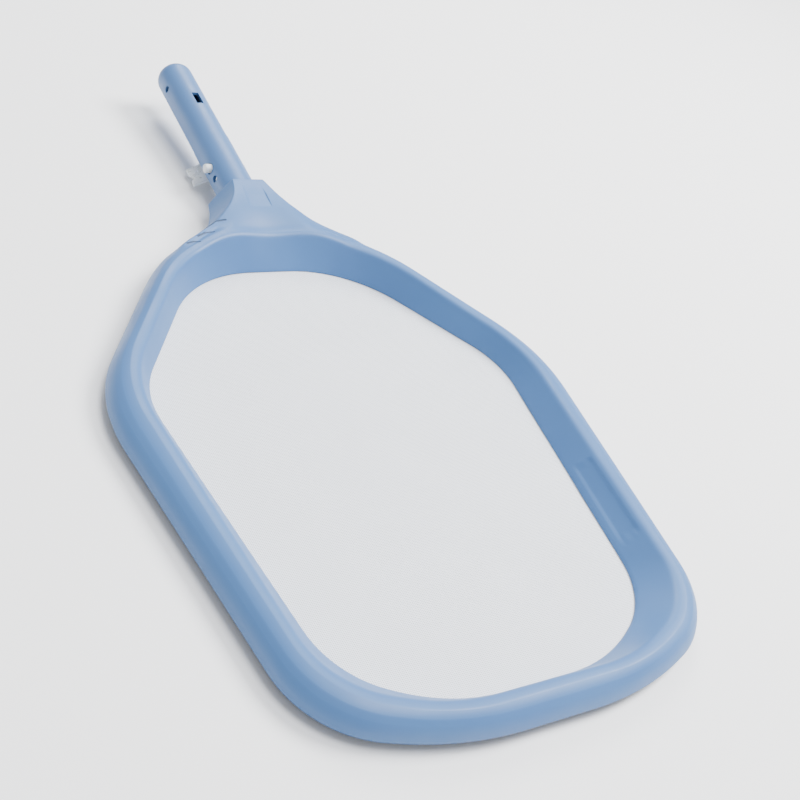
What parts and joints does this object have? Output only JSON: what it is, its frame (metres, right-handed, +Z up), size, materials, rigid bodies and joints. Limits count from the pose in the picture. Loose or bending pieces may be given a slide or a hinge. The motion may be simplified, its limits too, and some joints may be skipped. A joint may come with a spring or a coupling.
{
  "type": "leaf skimmer net",
  "caption": "Flat pool leaf skimmer: a moulded scoop rim with a fine net clamped in it, and a round handle with a sprung clip for a pole.",
  "frame": {"origin": "bottom centre of the whole part, on the surface that the net ring lies on", "axes": "+Y along the handle away from the scoop's front edge, +X across the head, +Z up through the net"},
  "size_m": [0.328, 0.6034, 0.0454],
  "materials": {
    "head_plastic": "satin moulded polypropylene, steel blue",
    "ring_plastic": "satin moulded polypropylene, steel blue",
    "handle_plastic": "satin moulded polypropylene, steel blue",
    "net_mesh": "fine woven polyester mesh, pale blue-white",
    "clip_plastic": "translucent white spring plastic",
    "steel": "stainless steel"
  },
  "bodies": {
    "skimmer": {"head_frame": "head_plastic", "net": "net_mesh", "net_ring": "ring_plastic", "handle_tube": "handle_plastic", "socket_bolt": "steel", "socket_nut": "steel", "clip_bend": "clip_plastic", "ring_screw_1": "steel", "ring_screw_2": "steel", "ring_screw_3": "steel", "ring_screw_4": "steel", "ring_screw_5": "steel", "ring_screw_6": "steel", "ring_screw_7": "steel", "ring_screw_8": "steel", "ring_screw_9": "steel", "ring_screw_10": "steel", "ring_screw_11": "steel", "ring_screw_12": "steel"},
    "right_arm": {"clip_arm_right": "clip_plastic"},
    "left_arm": {"clip_arm_left": "clip_plastic"}
  },
  "joints": [
    {"name": "press_right_arm", "type": "hinge", "parent": "skimmer", "child": "right_arm", "pos_m": [0.006, 0.23549, 0.02637], "axis": [0, 0.0889, -0.996], "range_deg": [0, 4.2], "stiffness_Nm_per_rad": 1.2, "springref_deg": -5.73},
    {"name": "press_left_arm", "type": "hinge", "parent": "skimmer", "child": "left_arm", "pos_m": [-0.006, 0.23549, 0.02637], "axis": [0, -0.0889, 0.996], "range_deg": [0, 4.2], "stiffness_Nm_per_rad": 1.2, "springref_deg": -5.73}
  ]
}
